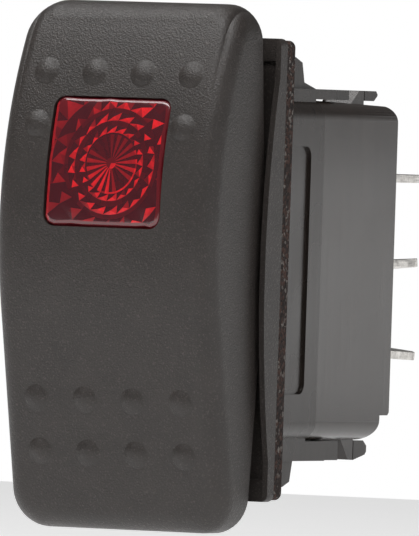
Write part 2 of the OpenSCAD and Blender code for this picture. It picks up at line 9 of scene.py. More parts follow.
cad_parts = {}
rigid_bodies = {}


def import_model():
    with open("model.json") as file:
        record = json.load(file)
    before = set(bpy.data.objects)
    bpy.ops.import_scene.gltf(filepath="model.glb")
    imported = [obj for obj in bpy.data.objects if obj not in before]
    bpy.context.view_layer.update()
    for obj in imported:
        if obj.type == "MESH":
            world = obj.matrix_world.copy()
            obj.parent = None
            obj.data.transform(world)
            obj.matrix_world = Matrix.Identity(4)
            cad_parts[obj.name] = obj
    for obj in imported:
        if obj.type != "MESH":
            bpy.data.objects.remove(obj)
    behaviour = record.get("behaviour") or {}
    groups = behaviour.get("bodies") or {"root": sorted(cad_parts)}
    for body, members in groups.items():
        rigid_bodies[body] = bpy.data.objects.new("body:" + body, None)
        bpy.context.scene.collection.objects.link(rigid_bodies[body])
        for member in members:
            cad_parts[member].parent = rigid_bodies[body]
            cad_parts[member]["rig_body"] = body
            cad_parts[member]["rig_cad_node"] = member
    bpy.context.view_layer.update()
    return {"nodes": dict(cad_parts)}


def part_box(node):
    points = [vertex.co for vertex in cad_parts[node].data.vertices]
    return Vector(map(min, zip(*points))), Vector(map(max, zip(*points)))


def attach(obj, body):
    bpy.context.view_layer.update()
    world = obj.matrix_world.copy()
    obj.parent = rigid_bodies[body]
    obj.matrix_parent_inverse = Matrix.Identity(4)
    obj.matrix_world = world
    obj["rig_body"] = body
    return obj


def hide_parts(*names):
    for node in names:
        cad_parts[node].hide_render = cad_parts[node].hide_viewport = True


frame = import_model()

bl_info = {
    "name": "Panel rocker switch",
    "version": (1, 0, 0),
    "blender": (4, 5, 0),
    "location": "View3D > Sidebar > Rocker switch",
    "description": "Dresses the packed panel rocker switch: rocker, prismatic lens, bracket, gasket, base and blades",
    "category": "Object",
}

MM = 0.001
ROCKER_LOW, ROCKER_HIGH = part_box("rocker")
LENS_LOW, LENS_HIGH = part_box("lens")
BASE_LOW, BASE_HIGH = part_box("base_housing")
HALF_W = ROCKER_HIGH.x
HALF_H = ROCKER_HIGH.z

# the rocker's front: a bend about an axis along X, straight below the fold
FRONT_R = 39.4 * MM
CREST_Z = 3.8 * MM
CURVE_Y = 25.2 * MM
LOWER_SLOPE = math.radians(11.7)
FOLD_Z = CREST_Z - FRONT_R * math.sin(LOWER_SLOPE)
FOLD_Y = CURVE_Y - FRONT_R * math.cos(LOWER_SLOPE)
# its back: a shallow V
BACK_MID = -3.0 * MM
BACK_END = -5.25 * MM
LENS_Z = 9.7 * MM
LENS_W = 12.1 * MM
LENS_TILT = math.asin((LENS_Z - CREST_Z) / FRONT_R)
# middles of the raised dots, across and up
DOT_TOP = [(x, 18) for x in (-7.62, -2.54, 2.54, 7.62)]
DOT_SIDE = [(x, 13.03) for x in (-7.7, 7.7)]
DOT_LOW = [(x, z) for z in (-12.63, -17.6) for x in (-7.62, -2.54, 2.54, 7.62)]
DOTS = [(x * MM, z * MM) for x, z in DOT_TOP + DOT_SIDE + DOT_LOW]


# ---------------------------------------------------------------- settings
class RockerSettings(bpy.types.PropertyGroup):
    plastic: bpy.props.FloatVectorProperty(
        name="Rocker black", description="Colour of the textured rocker",
        default=(0.037, 0.031, 0.028), size=3, min=0, max=1, subtype="COLOR")
    dot_height: bpy.props.FloatProperty(
        name="Dot height", description="How far the touch dots stand up",
        default=0.42 * MM, min=0.1 * MM, max=1 * MM, unit="LENGTH")
    edge_round: bpy.props.FloatProperty(
        name="Edge rounding", description="Rounding of the rocker's front edges",
        default=1.9 * MM, min=0.5 * MM, max=3 * MM, unit="LENGTH")
    corner_round: bpy.props.FloatProperty(
        name="Corner rounding", description="Rounding of the rocker's four corners",
        default=3.4 * MM, min=1 * MM, max=6 * MM, unit="LENGTH")
    wall: bpy.props.FloatProperty(
        name="Wall", description="Thickness of the rocker's shell",
        default=1.5 * MM, min=1 * MM, max=2 * MM, unit="LENGTH")


class LensSettings(bpy.types.PropertyGroup):
    # red and dark are the two ends of the facets' painted light: red is painted reflection, dark is painted shade
    red: bpy.props.FloatVectorProperty(
        name="Lens red", description="Colour of the facets that throw the light back",
        default=(1.0, 0.02, 0.028), size=3, min=0, max=1, subtype="COLOR")
    dark: bpy.props.FloatVectorProperty(
        name="Lens maroon", description="Colour of the facets in shade",
        default=(0.036, 0.005, 0.010), size=3, min=0, max=1, subtype="COLOR")
    spokes: bpy.props.IntProperty(
        name="Spokes", description="Facets in each ring of the pattern", default=20, min=12, max=36)
    rim: bpy.props.FloatProperty(
        name="Rim", description="Width of the smooth rounded rim round the facets",
        default=0.42 * MM, min=0.1 * MM, max=1 * MM, unit="LENGTH")


class HousingSettings(bpy.types.PropertyGroup):
    base: bpy.props.FloatVectorProperty(
        name="Base brown-black", description="Colour of the moulded base and collar",
        default=(0.034, 0.026, 0.022), size=3, min=0, max=1, subtype="COLOR")
    foam: bpy.props.FloatVectorProperty(
        name="Foam", description="Colour of the gasket's foam",
        default=(0.03, 0.022, 0.02), size=3, min=0, max=1, subtype="COLOR")
    tin: bpy.props.FloatVectorProperty(
        name="Tin", description="Colour of the blades",
        default=(0.62, 0.6, 0.57), size=3, min=0, max=1, subtype="COLOR")
    edge: bpy.props.FloatProperty(
        name="Moulded edge", description="Small rounding of the moulded edges",
        default=0.14 * MM, min=0.02 * MM, max=0.4 * MM, unit="LENGTH")


class StageSettings(bpy.types.PropertyGroup):
    azimuth: bpy.props.FloatProperty(
        name="Azimuth", description="Camera's turn round the switch, in degrees",
        default=28.04, min=-180, max=180)
    elevation: bpy.props.FloatProperty(
        name="Elevation", description="Camera's height angle, in degrees", default=0.56, min=-90, max=90)
    roll: bpy.props.FloatProperty(
        name="Roll", description="Turn of the picture, in degrees", default=1.85, min=-10, max=10)
    distance: bpy.props.FloatProperty(
        name="Distance", description="Camera's distance", default=1.5, min=0.1, max=2, unit="LENGTH")
    floor_z: bpy.props.FloatProperty(
        name="Floor", description="Height of the floor", default=-0.045, min=-1, max=-0.03, unit="LENGTH")


# ---------------------------------------------------------------- modelling tools
def deselect():
    for obj in bpy.context.selected_objects:
        obj.select_set(False)


def choose(obj):
    deselect()
    obj.select_set(True)
    bpy.context.view_layer.objects.active = obj


def edit(obj):
    choose(obj)
    bpy.ops.object.mode_set(mode="EDIT")


def leave():
    bpy.ops.object.mode_set(mode="OBJECT")


def added(name):
    """The object just added, named and with its place in its mesh."""
    obj = bpy.context.active_object
    obj.name = name
    obj.data.name = name
    choose(obj)
    bpy.ops.object.transform_apply(location=True, rotation=True, scale=True)
    return obj


def pick(obj, kind, test):
    """Selects, in edit mode, the corners, edges or faces for which the test holds."""
    bpy.ops.mesh.select_mode(type=kind)
    bpy.ops.mesh.select_all(action="DESELECT")
    mesh = bmesh.from_edit_mesh(obj.data)
    parts = {"VERT": mesh.verts, "EDGE": mesh.edges, "FACE": mesh.faces}[kind]
    for part in parts:
        if test(part):
            part.select_set(True)
    mesh.select_flush_mode()
    bmesh.update_edit_mesh(obj.data)


def move_picked(obj, place):
    """Moves every selected corner to place(its old place)."""
    mesh = bmesh.from_edit_mesh(obj.data)
    for corner in mesh.verts:
        if corner.select:
            corner.co = place(corner.co)
    bmesh.update_edit_mesh(obj.data)


def cut(obj, at, normal):
    bpy.ops.mesh.select_all(action="SELECT")
    bpy.ops.mesh.bisect(plane_co=at, plane_no=normal)


def trim(obj, at, normal, fill=False):
    """Cuts off what lies on the normal's side."""
    bpy.ops.mesh.select_all(action="SELECT")
    bpy.ops.mesh.bisect(plane_co=at, plane_no=normal, clear_outer=True, use_fill=fill)


def extrude(move):
    bpy.ops.mesh.extrude_region_move(TRANSFORM_OT_translate={"value": move})


def outward():
    bpy.ops.mesh.select_all(action="SELECT")
    bpy.ops.mesh.remove_doubles(threshold=0.001 * MM)
    bpy.ops.mesh.normals_make_consistent(inside=False)


def apply_modifier(obj, kind, **values):
    choose(obj)
    changer = obj.modifiers.new(kind.lower(), kind)
    for name, value in values.items():
        setattr(changer, name, value)
    bpy.ops.object.modifier_apply(modifier=changer.name)


def smooth(obj, angle):
    choose(obj)
    bpy.ops.object.shade_smooth_by_angle(angle=math.radians(angle))


def copied(obj, name):
    twin = obj.copy()
    twin.data = obj.data.copy()
    twin.name = name
    bpy.context.scene.collection.objects.link(twin)
    return twin


def joined(pieces, name):
    deselect()
    for obj in pieces:
        obj.select_set(True)
    bpy.context.view_layer.objects.active = pieces[0]
    bpy.ops.object.join()
    pieces[0].name = name
    return pieces[0]


def paint(obj, *materials):
    obj.data.materials.clear()
    for made in materials:
        obj.data.materials.append(made)


def finished(obj, body, slot_name, *nodes):
    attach(obj, body)
    if nodes:
        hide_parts(*nodes)


def body_of(node):
    return frame["nodes"][node]["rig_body"]


def dressed(node, edge, angle=32):
    """A copy of a solid with its loose triangles merged and its edges slightly rounded."""
    piece = frame["nodes"][node].copy()
    piece.data = piece.data.copy()
    piece.parent = None
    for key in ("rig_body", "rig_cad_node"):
        del piece[key]
    piece.name = node + "_dressed"
    bpy.context.scene.collection.objects.link(piece)
    edit(piece)
    bpy.ops.mesh.select_all(action="SELECT")
    bpy.ops.mesh.remove_doubles(threshold=0.002 * MM)
    bpy.ops.mesh.dissolve_limited(angle_limit=math.radians(1))
    leave()
    apply_modifier(piece, "BEVEL", width=edge, segments=2, limit_method="ANGLE",
                   angle_limit=math.radians(angle), use_clamp_overlap=True)
    smooth(piece, 40)
    apply_modifier(piece, "WEIGHTED_NORMAL", keep_sharp=True)
    return piece


def front_y(z):
    """Depth of the rocker's front at height z."""
    if z > FOLD_Z:
        return CURVE_Y - math.sqrt(FRONT_R ** 2 - (z - CREST_Z) ** 2)
    return FOLD_Y + (FOLD_Z - z) * math.tan(LOWER_SLOPE)


def back_y(z):
    return BACK_MID + (BACK_END - BACK_MID) * abs(z) / HALF_H


# ---------------------------------------------------------------- materials
def group(name, inputs, outputs):
    """An empty shader node group with its sockets."""
    tree = bpy.data.node_groups.new(name, "ShaderNodeTree")
    for label, value in inputs:
        kind = "NodeSocketColor" if isinstance(value, tuple) else "NodeSocketFloat"
        tree.interface.new_socket(name=label, in_out="INPUT", socket_type=kind).default_value = value
    for label, kind in outputs:
        tree.interface.new_socket(name=label, in_out="OUTPUT", socket_type=kind)
    return tree, tree.nodes.new("NodeGroupInput"), tree.nodes.new("NodeGroupOutput")


def math_node(tree, operation, a, b=None, clamp=False):
    node = tree.nodes.new("ShaderNodeMath")
    node.operation = operation
    node.use_clamp = clamp
    for socket, value in zip(node.inputs, (a, b)):
        if value is None:
            continue
        if isinstance(value, (int, float)):
            socket.default_value = value
        else:
            tree.links.new(value, socket)
    return node.outputs[0]


def span(tree, value, low, high, to_low=0.0, to_high=1.0):
    node = tree.nodes.new("ShaderNodeMapRange")
    node.clamp = True
    tree.links.new(value, node.inputs["Value"])
    for label, number in (("From Min", low), ("From Max", high), ("To Min", to_low), ("To Max", to_high)):
        node.inputs[label].default_value = number
    return node.outputs["Result"]


def noise(tree, vector, scale, detail=2.0, rough=0.5):
    node = tree.nodes.new("ShaderNodeTexNoise")
    tree.links.new(vector, node.inputs["Vector"])
    if isinstance(scale, (int, float)):
        node.inputs["Scale"].default_value = scale
    else:
        tree.links.new(scale, node.inputs["Scale"])
    node.inputs["Detail"].default_value = detail
    node.inputs["Roughness"].default_value = rough
    return node.outputs["Fac"]


def stretched(tree, vector, scale):
    node = tree.nodes.new("ShaderNodeMapping")
    node.inputs["Scale"].default_value = scale
    tree.links.new(vector, node.inputs["Vector"])
    return node.outputs["Vector"]


def mixed(tree, factor, a, b, blend="MIX"):
    node = tree.nodes.new("ShaderNodeMix")
    node.data_type = "RGBA"
    node.blend_type = blend
    for socket, value in ((node.inputs[0], factor), (node.inputs[6], a), (node.inputs[7], b)):
        if isinstance(value, (int, float)):
            socket.default_value = value
        elif isinstance(value, (tuple, list)):
            socket.default_value = (*value[:3], 1)
        else:
            tree.links.new(value, socket)
    return node.outputs[2]


def grain_group():
    """Moulded grain: fine pits, a mask for painted glints, and slow unevenness."""
    tree, inside, outside = group(
        "Moulded grain",
        (("Grain per metre", 5200.0), ("Slow per metre", 260.0)),
        (("Height", "NodeSocketFloat"), ("Painted glint", "NodeSocketFloat"), ("Slow", "NodeSocketFloat")))
    place = tree.nodes.new("ShaderNodeTexCoord").outputs["Object"]
    fine = noise(tree, place, inside.outputs["Grain per metre"], 2.0, 0.6)
    cells = tree.nodes.new("ShaderNodeTexVoronoi")
    tree.links.new(place, cells.inputs["Vector"])
    tree.links.new(inside.outputs["Grain per metre"], cells.inputs["Scale"])
    pit = math_node(tree, "MULTIPLY", cells.outputs["Distance"], 0.55)
    tree.links.new(math_node(tree, "ADD", fine, pit), outside.inputs["Height"])
    # mask for painted glints: the small spots that the plastics paint brighter as highlights
    tree.links.new(span(tree, fine, 0.56, 0.72), outside.inputs["Painted glint"])
    slow = noise(tree, place, inside.outputs["Slow per metre"], 3.0, 0.55)
    tree.links.new(span(tree, slow, 0.3, 0.7), outside.inputs["Slow"])
    return tree


def flow_group():
    """Flow marks of a glossy moulding: streaks along the height, fine specks and broad clouds."""
    tree, inside, outside = group(
        "Flow marks", (("Streaks per metre", 900.0), ("Clouds per metre", 120.0)),
        (("Streak", "NodeSocketFloat"), ("Cloud", "NodeSocketFloat"), ("Speck", "NodeSocketFloat")))
    place = tree.nodes.new("ShaderNodeTexCoord").outputs["Object"]
    streak = noise(tree, stretched(tree, place, (1, 1, 0.06)), inside.outputs["Streaks per metre"], 3.0, 0.6)
    tree.links.new(span(tree, streak, 0.3, 0.7), outside.inputs["Streak"])
    cloud = noise(tree, place, inside.outputs["Clouds per metre"], 2.0, 0.5)
    tree.links.new(span(tree, cloud, 0.3, 0.7), outside.inputs["Cloud"])
    speck = noise(tree, place, 9000.0, 1.0, 0.5)
    tree.links.new(span(tree, speck, 0.3, 0.75), outside.inputs["Speck"])
    return tree


def shaded(name, **constants):
    """A material with a Principled BSDF whose plain numbers stand on its own sockets."""
    made = bpy.data.materials.new(name)
    made.use_nodes = True
    shader = made.node_tree.nodes["Principled BSDF"]
    for label, value in constants.items():
        shader.inputs[label.replace("_", " ")].default_value = value
    return made, made.node_tree, shader


def placed(tree, node_group, **values):
    node = tree.nodes.new("ShaderNodeGroup")
    node.node_tree = node_group
    for label, value in values.items():
        node.inputs[label.replace("_", " ")].default_value = value
    return node


def bumped(tree, shader, height, distance, strength=1.0):
    node = tree.nodes.new("ShaderNodeBump")
    node.inputs["Strength"].default_value = strength
    node.inputs["Distance"].default_value = distance
    tree.links.new(height, node.inputs["Height"])
    tree.links.new(node.outputs["Normal"], shader.inputs["Normal"])


def scaled_colour(colour, factor):
    return tuple(min(channel * factor, 1.0) for channel in colour)


def grained_plastic(name, colour, roughness, grain, depth, gloss=0.35, painted_glint_gain=2.2, crease=False):
    """Textured black plastic: pits, painted glints (small spots painted brighter and made less rough), a slow
    unevenness of tone and gloss.
    """
    made, tree, shader = shaded(name, Specular_IOR_Level=gloss)
    effect = placed(tree, GROUPS_MADE["grain"], Grain_per_metre=grain)
    tone = mixed(tree, effect.outputs["Slow"], scaled_colour(colour, 0.86), scaled_colour(colour, 1.14))
    # painted glints: small spots of the base colour painted up to 2.2 times brighter, standing in for sparkle of light
    tone = mixed(tree, effect.outputs["Painted glint"], tone, scaled_colour(colour, painted_glint_gain))
    tree.links.new(tone, shader.inputs["Base Color"])
    rough = span(tree, effect.outputs["Painted glint"], 0.0, 1.0, roughness, roughness - 0.12)
    tree.links.new(rough, shader.inputs["Roughness"])
    height = effect.outputs["Height"]
    if crease:
        height = creased(tree, height)
    bumped(tree, shader, height, depth)
    return made


def creased(tree, height):
    """Adds the shallow valley between the rocker's front and its rounded sides, fading downwards."""
    place = tree.nodes.new("ShaderNodeSeparateXYZ")
    tree.links.new(tree.nodes.new("ShaderNodeTexCoord").outputs["Object"], place.inputs[0])
    off = math_node(tree, "SUBTRACT", math_node(tree, "ABSOLUTE", place.outputs["X"]), 10.2 * MM)
    near = span(tree, math_node(tree, "ABSOLUTE", off), 0.0, 0.75 * MM, 1.0, 0.0)
    high = span(tree, place.outputs["Z"], 13 * MM, 21 * MM)
    valley = math_node(tree, "MULTIPLY", math_node(tree, "MULTIPLY", near, near), high)
    return math_node(tree, "SUBTRACT", height, math_node(tree, "MULTIPLY", valley, 4.0))


def satin_plastic(name, colour, roughness, streak=0.25, speck=0.2, gloss=0.5, coat=0.0):
    """Smooth brown-black moulding: streaks and clouds in tone and gloss."""
    made, tree, shader = shaded(name, Specular_IOR_Level=gloss, Coat_Weight=coat, Coat_Roughness=0.18)
    effect = placed(tree, GROUPS_MADE["flow"])
    tone = mixed(tree, effect.outputs["Streak"], scaled_colour(colour, 1 - streak), scaled_colour(colour, 1 + streak))
    tone = mixed(tree, math_node(tree, "MULTIPLY", effect.outputs["Cloud"], 0.35), tone, scaled_colour(colour, 1.5))
    tone = mixed(tree, math_node(tree, "MULTIPLY", effect.outputs["Speck"], speck), tone, scaled_colour(colour, 0.55))
    tree.links.new(tone, shader.inputs["Base Color"])
    rough = span(tree, effect.outputs["Cloud"], 0.0, 1.0, roughness - 0.05, roughness + 0.07)
    tree.links.new(rough, shader.inputs["Roughness"])
    height = math_node(tree, "ADD", effect.outputs["Streak"], math_node(tree, "MULTIPLY", effect.outputs["Speck"], 0.6))
    bumped(tree, shader, height, 0.006 * MM)
    return made


def foam_material(colour):
    """Closed-cell foam: dark brown with pale and rusty flecks."""
    made, tree, shader = shaded("gasket_foam", Specular_IOR_Level=0.25, Roughness=0.85)
    place = tree.nodes.new("ShaderNodeTexCoord").outputs["Object"]
    cell = tree.nodes.new("ShaderNodeTexVoronoi")
    tree.links.new(place, cell.inputs["Vector"])
    cell.inputs["Scale"].default_value = 3600.0
    parts = tree.nodes.new("ShaderNodeSeparateColor")
    tree.links.new(cell.outputs["Color"], parts.inputs[0])
    slow = span(tree, noise(tree, place, 1500.0, 2.0, 0.6), 0.3, 0.7)
    tone = mixed(tree, slow, scaled_colour(colour, 0.6), scaled_colour(colour, 1.5))
    rusty = span(tree, parts.outputs["Red"], 0.62, 0.8)
    tone = mixed(tree, math_node(tree, "MULTIPLY", rusty, 0.6), tone, (0.11, 0.06, 0.048))
    pale = span(tree, parts.outputs["Green"], 0.86, 0.93)
    tone = mixed(tree, pale, tone, (0.2, 0.18, 0.165))
    tree.links.new(tone, shader.inputs["Base Color"])
    bumped(tree, shader, cell.outputs["Distance"], 0.12 * MM)
    return made


def metal(name, colour, roughness, mottled=0.3, scale=900.0, depth=0.01, stretch=(1, 1, 1)):
    """Plated or drawn metal: mottled tone and gloss, and fine scratches."""
    made, tree, shader = shaded(name, Metallic=1.0)
    place = tree.nodes.new("ShaderNodeTexCoord").outputs["Object"]
    spots = span(tree, noise(tree, stretched(tree, place, stretch), scale, 4.0, 0.65), 0.32, 0.68)
    fine = span(tree, noise(tree, stretched(tree, place, (1, 0.08, 1)), 7000.0, 2.0, 0.6), 0.3, 0.7)
    tone = mixed(tree, spots, scaled_colour(colour, 1 - mottled), scaled_colour(colour, 1 + mottled * 0.6))
    tone = mixed(tree, math_node(tree, "MULTIPLY", fine, 0.2), tone, scaled_colour(colour, 0.6))
    tree.links.new(tone, shader.inputs["Base Color"])
    tree.links.new(span(tree, spots, 0.0, 1.0, roughness + 0.1, roughness - 0.08), shader.inputs["Roughness"])
    bumped(tree, shader, math_node(tree, "ADD", spots, math_node(tree, "MULTIPLY", fine, 0.4)), depth * MM)
    return made


def lens_material(s):
    """Red prismatic lens: facets coloured with painted light from a colour attribute (bright or dark by each facet's
    tilt), with a faint painted glow, under a clear glossy skin.
    """
    made, tree, shader = shaded("lens_red", Roughness=0.22, Specular_IOR_Level=0.5,
                                Coat_Weight=1.0, Coat_Roughness=0.04, Coat_IOR=1.5)
    facet = tree.nodes.new("ShaderNodeVertexColor")
    facet.layer_name = "facets"
    relief = tree.nodes.new("ShaderNodeAttribute")
    relief.attribute_name = "relief"
    place = tree.nodes.new("ShaderNodeTexCoord").outputs["Object"]
    haze = span(tree, noise(tree, place, 2600.0, 2.0, 0.6), 0.35, 0.7)
    tone = mixed(tree, math_node(tree, "MULTIPLY", haze, 0.3), facet.outputs["Color"], (0.10, 0.004, 0.008))
    tree.links.new(tone, shader.inputs["Base Color"])
    parts = tree.nodes.new("ShaderNodeSeparateColor")
    tree.links.new(facet.outputs["Color"], parts.inputs[0])
    # painted glow: the facet colour, painted light included, is given off faintly as light, standing in for light
    # shining through the lens
    tree.links.new(tone, shader.inputs["Emission Color"])
    shader.inputs["Emission Strength"].default_value = 0.18
    bumped(tree, shader, relief.outputs["Fac"], 0.25 * MM, 0.15)
    return made


def nylon(name, colour, roughness=0.5, waxy=0.0):
    made, tree, shader = shaded(name, Specular_IOR_Level=0.45, Subsurface_Weight=waxy, Subsurface_Scale=0.6 * MM)
    effect = placed(tree, GROUPS_MADE["flow"], Streaks_per_metre=500.0)
    tone = mixed(tree, effect.outputs["Cloud"], scaled_colour(colour, 0.88), scaled_colour(colour, 1.04))
    tone = mixed(tree, math_node(tree, "MULTIPLY", effect.outputs["Streak"], 0.3), tone, scaled_colour(colour, 0.8))
    tree.links.new(tone, shader.inputs["Base Color"])
    tree.links.new(span(tree, effect.outputs["Speck"], 0.0, 1.0, roughness - 0.06, roughness + 0.08),
                   shader.inputs["Roughness"])
    bumped(tree, shader, effect.outputs["Speck"], 0.006 * MM)
    return made


def board_material():
    """Green fibreglass board with its weave."""
    made, tree, shader = shaded("board_green", Specular_IOR_Level=0.5, Coat_Weight=0.4, Coat_Roughness=0.2)
    place = tree.nodes.new("ShaderNodeTexCoord").outputs["Object"]
    weave = None
    for scale in ((1, 0, 0), (0, 0, 1)):
        wave = tree.nodes.new("ShaderNodeTexWave")
        wave.inputs["Scale"].default_value = 420.0
        wave.inputs["Distortion"].default_value = 1.0
        wave.bands_direction = "X" if scale[0] else "Z"
        tree.links.new(place, wave.inputs["Vector"])
        weave = wave.outputs["Fac"] if weave is None else math_node(tree, "MULTIPLY", weave, wave.outputs["Fac"])
    tone = mixed(tree, weave, (0.012, 0.07, 0.026), (0.03, 0.15, 0.055))
    tree.links.new(tone, shader.inputs["Base Color"])
    tree.links.new(span(tree, weave, 0.0, 1.0, 0.42, 0.3), shader.inputs["Roughness"])
    bumped(tree, shader, weave, 0.02 * MM)
    return made


def resistor_material():
    """Tan ceramic body with bands across its length."""
    made, tree, shader = shaded("resistor_body", Specular_IOR_Level=0.5, Coat_Weight=0.5, Coat_Roughness=0.15)
    place = tree.nodes.new("ShaderNodeTexCoord").outputs["Object"]
    split = tree.nodes.new("ShaderNodeSeparateXYZ")
    tree.links.new(place, split.inputs[0])
    low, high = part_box("lamp_resistor")
    ramp = tree.nodes.new("ShaderNodeValToRGB")
    tree.links.new(span(tree, split.outputs["X"], low.x, high.x), ramp.inputs["Fac"])
    ramp.color_ramp.interpolation = "CONSTANT"
    tan, stops = (0.55, 0.4, 0.24, 1), ramp.color_ramp.elements
    stops[0].position, stops[0].color = 0.0, tan
    stops[1].position, stops[1].color = 0.2, (0.25, 0.02, 0.02, 1)
    bands = ((0.28, tan), (0.4, (0.02, 0.02, 0.02, 1)), (0.48, tan), (0.6, (0.16, 0.07, 0.02, 1)),
             (0.68, tan), (0.82, (0.6, 0.42, 0.08, 1)), (0.9, tan))
    for place_at, colour in bands:
        stops.new(place_at).color = colour
    tone = mixed(tree, span(tree, noise(tree, place, 3000.0), 0.3, 0.7), ramp.outputs["Color"],
                 (0.42, 0.3, 0.18), "MULTIPLY")
    tree.links.new(mixed(tree, 0.35, ramp.outputs["Color"], tone), shader.inputs["Base Color"])
    tree.links.new(span(tree, noise(tree, place, 2500.0), 0.3, 0.7, 0.35, 0.5), shader.inputs["Roughness"])
    return made


def lamp_material():
    """Frosted lamp body, slightly warm."""
    made, tree, shader = shaded("lamp_glass", Specular_IOR_Level=0.5, Coat_Weight=1.0, Coat_Roughness=0.05,
                                Subsurface_Weight=0.4, Subsurface_Scale=0.8 * MM)
    place = tree.nodes.new("ShaderNodeTexCoord").outputs["Object"]
    cloud = span(tree, noise(tree, place, 900.0, 3.0, 0.6), 0.3, 0.7)
    tree.links.new(mixed(tree, cloud, (0.78, 0.76, 0.7), (0.9, 0.88, 0.83)), shader.inputs["Base Color"])
    tree.links.new(span(tree, cloud, 0.0, 1.0, 0.12, 0.25), shader.inputs["Roughness"])
    return made


GROUPS_MADE = {}
FINISH = {}


# ---------------------------------------------------------------- pieces
class SWITCH_OT_finishes(bpy.types.Operator):
    """Makes the shared effects and the finishes, and gives every solid of the frame its own"""
    bl_idname = "switch.finishes"
    bl_label = "Finishes"

    def execute(self, context):
        rocker, lens, housing = (context.scene.switch_rocker, context.scene.switch_lens,
                                 context.scene.switch_housing)
        GROUPS_MADE["grain"] = grain_group()
        GROUPS_MADE["flow"] = flow_group()
        base = tuple(housing.base)
        FINISH.update(
            rocker=grained_plastic("rocker_black", tuple(rocker.plastic), 0.46, 5600.0, 0.05 * MM, gloss=0.5, crease=True),
            bezel=grained_plastic("bezel_black", tuple(rocker.plastic), 0.48, 5600.0, 0.04 * MM),
            collar=satin_plastic("collar_brown", scaled_colour(base, 0.75), 0.27, gloss=0.38),
            base=satin_plastic("base_brown", base, 0.2),
            foam=foam_material(tuple(housing.foam)),
            lens=lens_material(lens),
            tin=metal("tin_plate", tuple(housing.tin), 0.42, mottled=0.35, scale=1500.0, depth=0.03),
            steel=metal("spring_steel", (0.56, 0.57, 0.58), 0.28, mottled=0.12, scale=700.0, stretch=(0.2, 1, 1)),
            copper=metal("copper_strip", (0.86, 0.42, 0.24), 0.3, mottled=0.2, scale=600.0),
            silver=metal("silver_contact", (0.86, 0.85, 0.82), 0.26, mottled=0.15, scale=1200.0),
            acetal=nylon("black_acetal", (0.022, 0.021, 0.02), 0.4),
            nylon=nylon("natural_nylon", (0.72, 0.7, 0.64), 0.45, waxy=0.3),
            pipe=nylon("light_pipe_milk", (0.8, 0.78, 0.74), 0.3, waxy=0.5),
            board=board_material(),
            resistor=resistor_material(),
            lamp=lamp_material())
        worn = dict(
            light_pipe="pipe", actuator="acetal", pivot_pin="steel", seal_plate="acetal",
            plunger_left="nylon", plunger_right="nylon", plunger_spring_left="steel",
            plunger_spring_right="steel", contact_arm_left="copper", contact_arm_right="copper",
            arm_buttons_left="silver", arm_buttons_right="silver", fixed_buttons="silver",
            lamp_board="board", lamp="lamp", lamp_resistor="resistor", lamp_lead="copper",
            lamp_terminal_top="tin", lamp_terminal_bottom="tin")
        for node, obj in frame["nodes"].items():
            paint(obj, FINISH[worn.get(node, "collar")])
        return {"FINISHED"}


def about_front(angle):
    """Turns a place at the front, seen from the bend's centre, by an angle about X."""
    return Matrix.Translation((0, CURVE_Y, CREST_Z)) @ Matrix.Rotation(angle, 4, "X")


def raised_dot(height):
    """One bell-shaped dot at the origin, facing the front."""
    radii = [1.36, 1.29, 1.22, 1.12, 1.0, 0.85, 0.68, 0.48, 0.26]
    ball = (1.27 * MM) ** 2 / (2 * height) + height / 2
    rise = [0, 0.02 * MM] + [math.sqrt(ball ** 2 - (r * MM) ** 2) - ball + height for r in radii[2:]]
    deselect()
    bpy.ops.mesh.primitive_circle_add(vertices=28, radius=radii[0] * MM, fill_type="NGON",
                                      rotation=(math.radians(90), 0, 0))
    dot = added("raised_dot")
    edit(dot)
    bpy.ops.mesh.select_all(action="SELECT")
    for i in range(1, len(radii)):
        bpy.ops.mesh.inset(thickness=(radii[i - 1] - radii[i]) * MM, depth=rise[i] - rise[i - 1])
    leave()
    return dot


def window_cutter(size, rounding):
    deselect()
    bpy.ops.mesh.primitive_cube_add(size=1, scale=(size, 12 * MM, size))
    cutter = added("window_cutter")
    edit(cutter)
    pick(cutter, "EDGE", lambda e: abs((e.verts[0].co - e.verts[1].co).y) > 6 * MM)
    bpy.ops.mesh.bevel(offset=rounding, segments=6, affect="EDGES")
    leave()
    cutter.data.transform(about_front(-LENS_TILT) @ Matrix.Translation((0, -FRONT_R, 0)))
    return cutter


